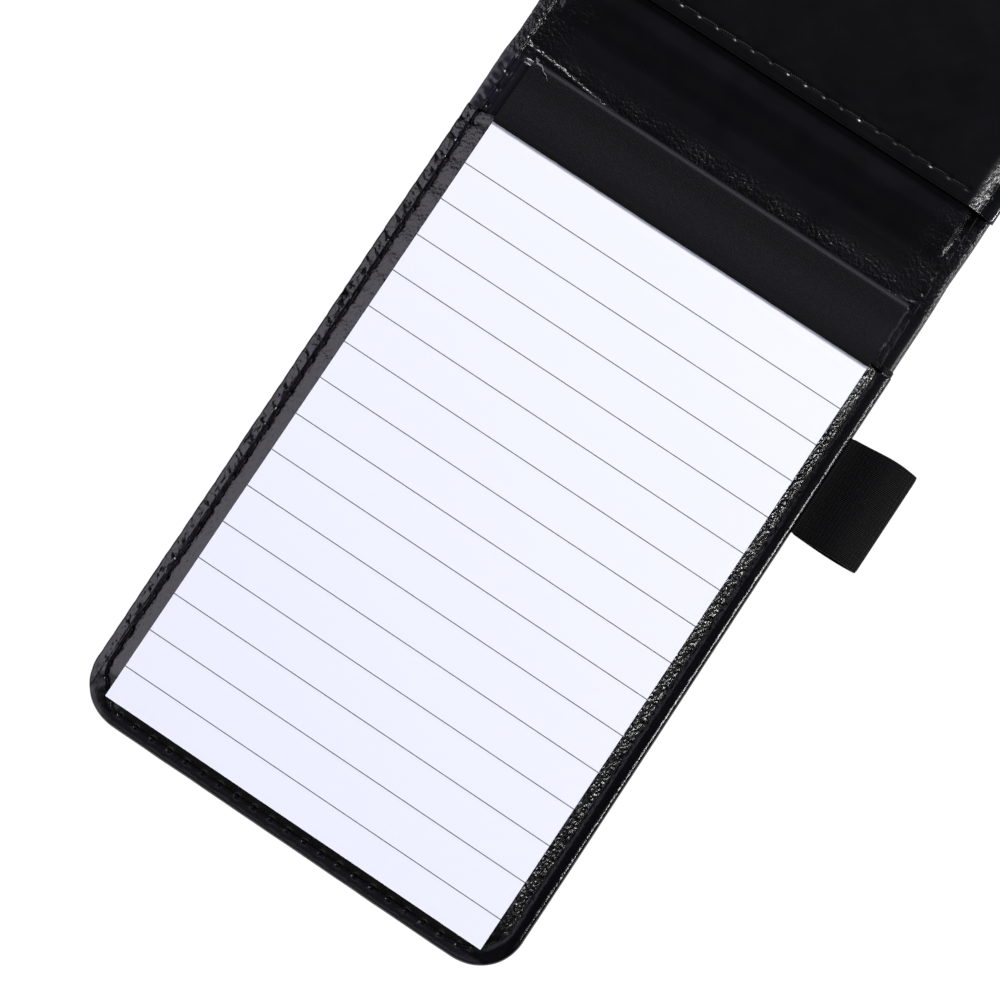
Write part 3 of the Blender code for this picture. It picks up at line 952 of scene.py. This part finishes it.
def make_tape():
    """Woven tape over the sheets' bound head, down its end and a little way underneath."""
    top_z = TAPE_HIGH.z
    head_y = TAPE_HIGH.y
    low_z = TAPE_LOW.z
    radius = HEAD_ROUND
    line = [(y, top_z + page_level(y), 0.0, 1.0) for y in spread(TAPE_EDGE, head_y - radius, 34)]
    line[0] = (TAPE_EDGE, top_z - 0.16, -0.7, 0.7)
    line[1] = (line[1][0], top_z - 0.07, 0.0, 1.0)
    for k in range(1, 7):
        turn = 0.5 * math.pi * k / 6.0
        line.append((head_y - radius + radius * math.sin(turn),
                     top_z - HEAD_DROP - radius + radius * math.cos(turn),
                     math.sin(turn), math.cos(turn)))
    foot = 0.45
    for z in spread(top_z - HEAD_DROP - radius - 0.4, low_z + foot, 8):
        line.append((head_y, z, 1.0, 0.0))
    for k in range(1, 6):
        turn = 0.5 * math.pi * k / 5.0
        line.append((head_y - foot + foot * math.cos(turn),
                     low_z + foot - foot * math.sin(turn), math.cos(turn), -math.sin(turn)))
    for y in spread(head_y - foot - 0.8, TAPE_EDGE + 2.0, 10):
        line.append((y, low_z, 0.0, -1.0))
    columns = 70
    xs = spread(-PAGE_HIGH.x - 0.05, PAGE_HIGH.x + 0.05, columns)
    width = columns + 1
    verts, faces = [], []
    for skin in (0.0, TAPE_T):
        for j, (y, z, ny, nz) in enumerate(line):
            for x in xs:
                lift = 0.03 * wobble(x, 10.0 * j, 14.0, 7.0) * (skin == 0.0) * (0 < j < 34)
                ragged = 0.05 * wobble(x, 0.0, 15.0, 1.4) * (j == 0)
                verts.append((x, y - skin * ny + ragged, z - skin * nz + lift * nz))
    under = width * len(line)
    for j in range(len(line) - 1):
        a, b = width * j, width * (j + 1)
        for c in range(columns):
            faces.append((a + c, a + c + 1, b + c + 1, b + c))
            faces.append((under + a + c, under + b + c, under + b + c + 1, under + a + c + 1))
        faces.append((a, b, under + b, under + a))
        faces.append((a + columns, under + a + columns, under + b + columns, b + columns))
    end = width * (len(line) - 1)
    for c in range(columns):
        faces.append((c + 1, c, under + c, under + c + 1))
        faces.append((end + c, end + c + 1, under + end + c + 1, under + end + c))
    obj = make_object("woven_binding_tape", verts, faces, [TAPE], lean=pad_lean)
    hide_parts("binding_tape")
    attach(obj, "back_cover")


# ---------------------------------------------------------------- pen loop and trifles

def make_pen_loop():
    """Ribbed elastic folded double: an oval loop whose two ends meet in the sewn rim."""
    root = 40.3
    a = (LOOP_HIGH.x - root) / 2.0
    centre_x = root + a
    centre_z = (LOOP_LOW.z + LOOP_HIGH.z) / 2.0
    half_h = 0.87 * (LOOP_HIGH.z - LOOP_LOW.z) / 2.0
    tongue_z = 1.75
    steps, columns = 260, 30
    thick, rib, rib_pitch = 0.6, 0.11, 0.55
    ys = spread(LOOP_LOW.y, LOOP_HIGH.y, columns)
    verts, faces = [], []
    for skin in (0.0, thick):
        for i in range(steps):
            angle = 2.0 * math.pi * i / steps
            out = 0.5 + 0.5 * math.cos(angle)
            open_up = smooth(0.0, 0.75, out)
            strong = rib * (0.6 + 0.9 * smooth(0.75, 0.95, out))
            ribs = strong * abs(math.sin(math.pi * 2.0 * a * (1.0 - out) / rib_pitch)) * (skin == 0.0)
            for y in ys:
                across = abs(2.0 * (y - ys[0]) / (ys[-1] - ys[0]) - 1.0)
                trim = 0.10 * smooth(0.95, 1.0, across) * (1.0 if skin == 0.0 else -1.0)
                reach = -skin - trim + ribs - strong
                x = centre_x + (a - skin - trim) * math.cos(angle)
                z = (half_h + reach) * math.sin(angle) * (0.30 + 0.70 * open_up)
                z += tongue_z + (centre_z - tongue_z) * open_up
                bow = 0.25 * math.sin(math.pi * min(1.0, max(0.0, (x - root) / (2.0 * a))))
                middle = (ys[0] + ys[-1]) / 2.0
                verts.append((x, middle + (y - middle) * (1.0 + 0.04 * bow), z))
    width = columns + 1
    inner = width * steps
    for i in range(steps):
        p, q = width * i, width * ((i + 1) % steps)
        for c in range(columns):
            faces.append((p + c, q + c, q + c + 1, p + c + 1))
            faces.append((inner + p + c, inner + p + c + 1, inner + q + c + 1, inner + q + c))
        faces.append((p, inner + p, inner + q, q))
        faces.append((p + columns, q + columns, inner + q + columns, inner + p + columns))
    tongue = tongue_block(36.9, root + 0.5, ys[0] + 0.1, ys[-1] - 0.1, 1.5, 2.0)
    obj = make_object("elastic_pen_loop", *join_parts([(verts, faces), tongue]), [WEBBING])
    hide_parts("pen_loop")
    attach(obj, "back_cover")


def tongue_block(x0, x1, y0, y1, z0, z1):
    """The two pressed ends of the webbing inside the rim."""
    mid = (z0 + z1) / 2.0
    ring = [(x0, z0 + 0.1), (x1, z0), (x1, mid), (x1, z1), (x0, z1 - 0.1), (x0 - 0.1, mid)]
    verts = [(x, y, z) for y in (y0, y1) for x, z in ring]
    n = len(ring)
    faces = [(i, (i + 1) % n, n + (i + 1) % n, n + i) for i in range(n)]
    faces += [tuple(reversed(range(n))), tuple(range(n, 2 * n))]
    return verts, faces


def make_corner_tack():
    """A few turns of thread over the rim where the pocket's edge meets it on the right."""
    parts = []
    for k in range(4):
        y = BACK_EDGE_Y + 0.05 + 0.24 * k
        line = [(37.9, 1.6), (38.05, 2.25), (38.5, 2.62), (39.1, 2.55), (39.65, 2.1), (39.8, 1.5)]
        parts.append(tube([(x, y + 0.04 * math.sin(3.0 * k), z) for x, z in line],
                          [0.10, 0.13, 0.14, 0.14, 0.13, 0.10]))
    obj = make_object("corner_tack_stitches", *join_parts(parts), [THREAD])
    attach(obj, "back_cover")


def make_fray():
    """A few loose fibres caught at the left end of the crease, lying over the tape."""
    line = [(-34.9, 62.3), (-34.3, 61.6), (-33.6, 61.8), (-32.9, 61.1), (-32.2, 60.9), (-31.5, 60.2)]
    parts = []
    for k in range(4):
        points, radii = [], []
        for i in range(16):
            t = i / 15.0 * (len(line) - 1) * (1.0 - 0.18 * k)
            j = min(int(t), len(line) - 2)
            x = line[j][0] + (line[j + 1][0] - line[j][0]) * (t - j)
            y = line[j][1] + (line[j + 1][1] - line[j][1]) * (t - j)
            x += 0.16 * k * wobble(t, k * 1.3, 4.0, 0.9)
            y += 0.22 * k * wobble(t, k * 2.1, 7.0, 0.8)
            z = TAPE_HIGH.z + page_level(min(y, 61.6)) + 0.06 + 0.05 * k
            points.append((x, y, z))
            radii.append(0.06 - 0.030 * i / 15.0)
        parts.append(tube(points, radii, 5))
    obj = make_object("loose_fibres", *join_parts(parts), [FRAY], lean=pad_lean)
    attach(obj, "back_cover")


def finish_cad_nodes():
    for node, material in (("back_board", COVERBOARD), ("front_board", COVERBOARD),
                           ("pad_backing_board", GREYBOARD)):
        obj = frame["nodes"][node]
        obj.data.materials.clear()
        obj.data.materials.append(material)


# ---------------------------------------------------------------- studio

def make_floor():
    size = 3000.0
    verts = [(-size, -size, -0.05), (size, -size, -0.05), (size, size, -0.05), (-size, size, -0.05)]
    floor = make_object("studio_floor_plane", verts, [(0, 1, 2, 3)], [FLOOR])


def make_camera():
    data = bpy.data.cameras.new("camera")
    data.lens = 90.0
    data.sensor_width = 36.0
    data.clip_start = 0.01
    data.clip_end = 20.0
    camera = bpy.data.objects.new("camera", data)
    bpy.context.scene.collection.objects.link(camera)
    place = Vector((20.92, -13.88, 395.13)) * MM
    aim = Vector((-1.17, 1.62, 0.0)) * MM
    roll = math.radians(33.75)          # the notebook's head points to the upper right
    back = (place - aim).normalized()
    head = Vector((0.0, 1.0, 0.0))
    level_up = (head - back * head.dot(back)).normalized()
    up = Matrix.Rotation(roll, 3, back) @ level_up
    right = up.cross(back)
    turn = Matrix((right, up, back)).transposed()
    camera.matrix_world = Matrix.Translation(place) @ turn.to_4x4()
    bpy.context.scene.camera = camera


def softbox(name, azimuth, elevation, distance, width, height, power, color=(1.0, 1.0, 1.0)):
    """An area light aimed at the notebook's middle; azimuth 0 is over the head (+Y)."""
    data = bpy.data.lights.new(name, "AREA")
    data.shape = "RECTANGLE"
    data.size, data.size_y = width, height
    data.energy = power
    data.color = color
    light = bpy.data.objects.new(name, data)
    bpy.context.scene.collection.objects.link(light)
    a, e = math.radians(azimuth), math.radians(elevation)
    toward = Vector((math.sin(a) * math.cos(e), math.cos(a) * math.cos(e), math.sin(e)))
    light.location = toward * distance
    light.rotation_mode = "QUATERNION"
    light.rotation_quaternion = toward.to_track_quat("Z", "Y")


def make_lights():
    softbox("head_softbox", 5.0, 26.0, 2.8, 1.925, 0.61, 134.0)
    softbox("left_card", -99.0, 20.0, 1.6, 1.3, 1.0, 9.4, (0.90, 0.86, 1.0))
    softbox("corner_card", -140.0, 22.0, 1.6, 0.7, 0.9, 2.2, (0.95, 0.92, 1.0))
    softbox("right_strip_light", 66.0, 24.0, 1.6, 0.15, 0.11, 2.4)
    softbox("right_edge_light", 86.0, 42.0, 1.6, 0.40, 0.10, 6.0)
    softbox("right_spot", 68.0, 22.0, 0.5, 0.045, 0.032, 0.5)
    softbox("foot_card", 180.0, 46.0, 1.6, 1.0, 0.5, 0.8)
    world = bpy.data.worlds.new("studio")
    bpy.context.scene.world = world
    world.use_nodes = True
    back = world.node_tree.nodes["Background"]
    back.inputs["Color"].default_value = (1.0, 1.0, 1.0, 1.0)
    back.inputs["Strength"].default_value = 0.035
    bpy.context.scene.view_settings.view_transform = "Standard"


make_camera()
make_back_panel()
make_front_panel()
for is_front in (False, True):
    make_lining(is_front)
    make_skin(is_front)
make_edge_stitches()
make_hem_stitches()
make_top_sheet()
make_sheet_stack()
make_tape()
make_pen_loop()
make_corner_tack()
make_fray()
finish_cad_nodes()
make_floor()
make_lights()
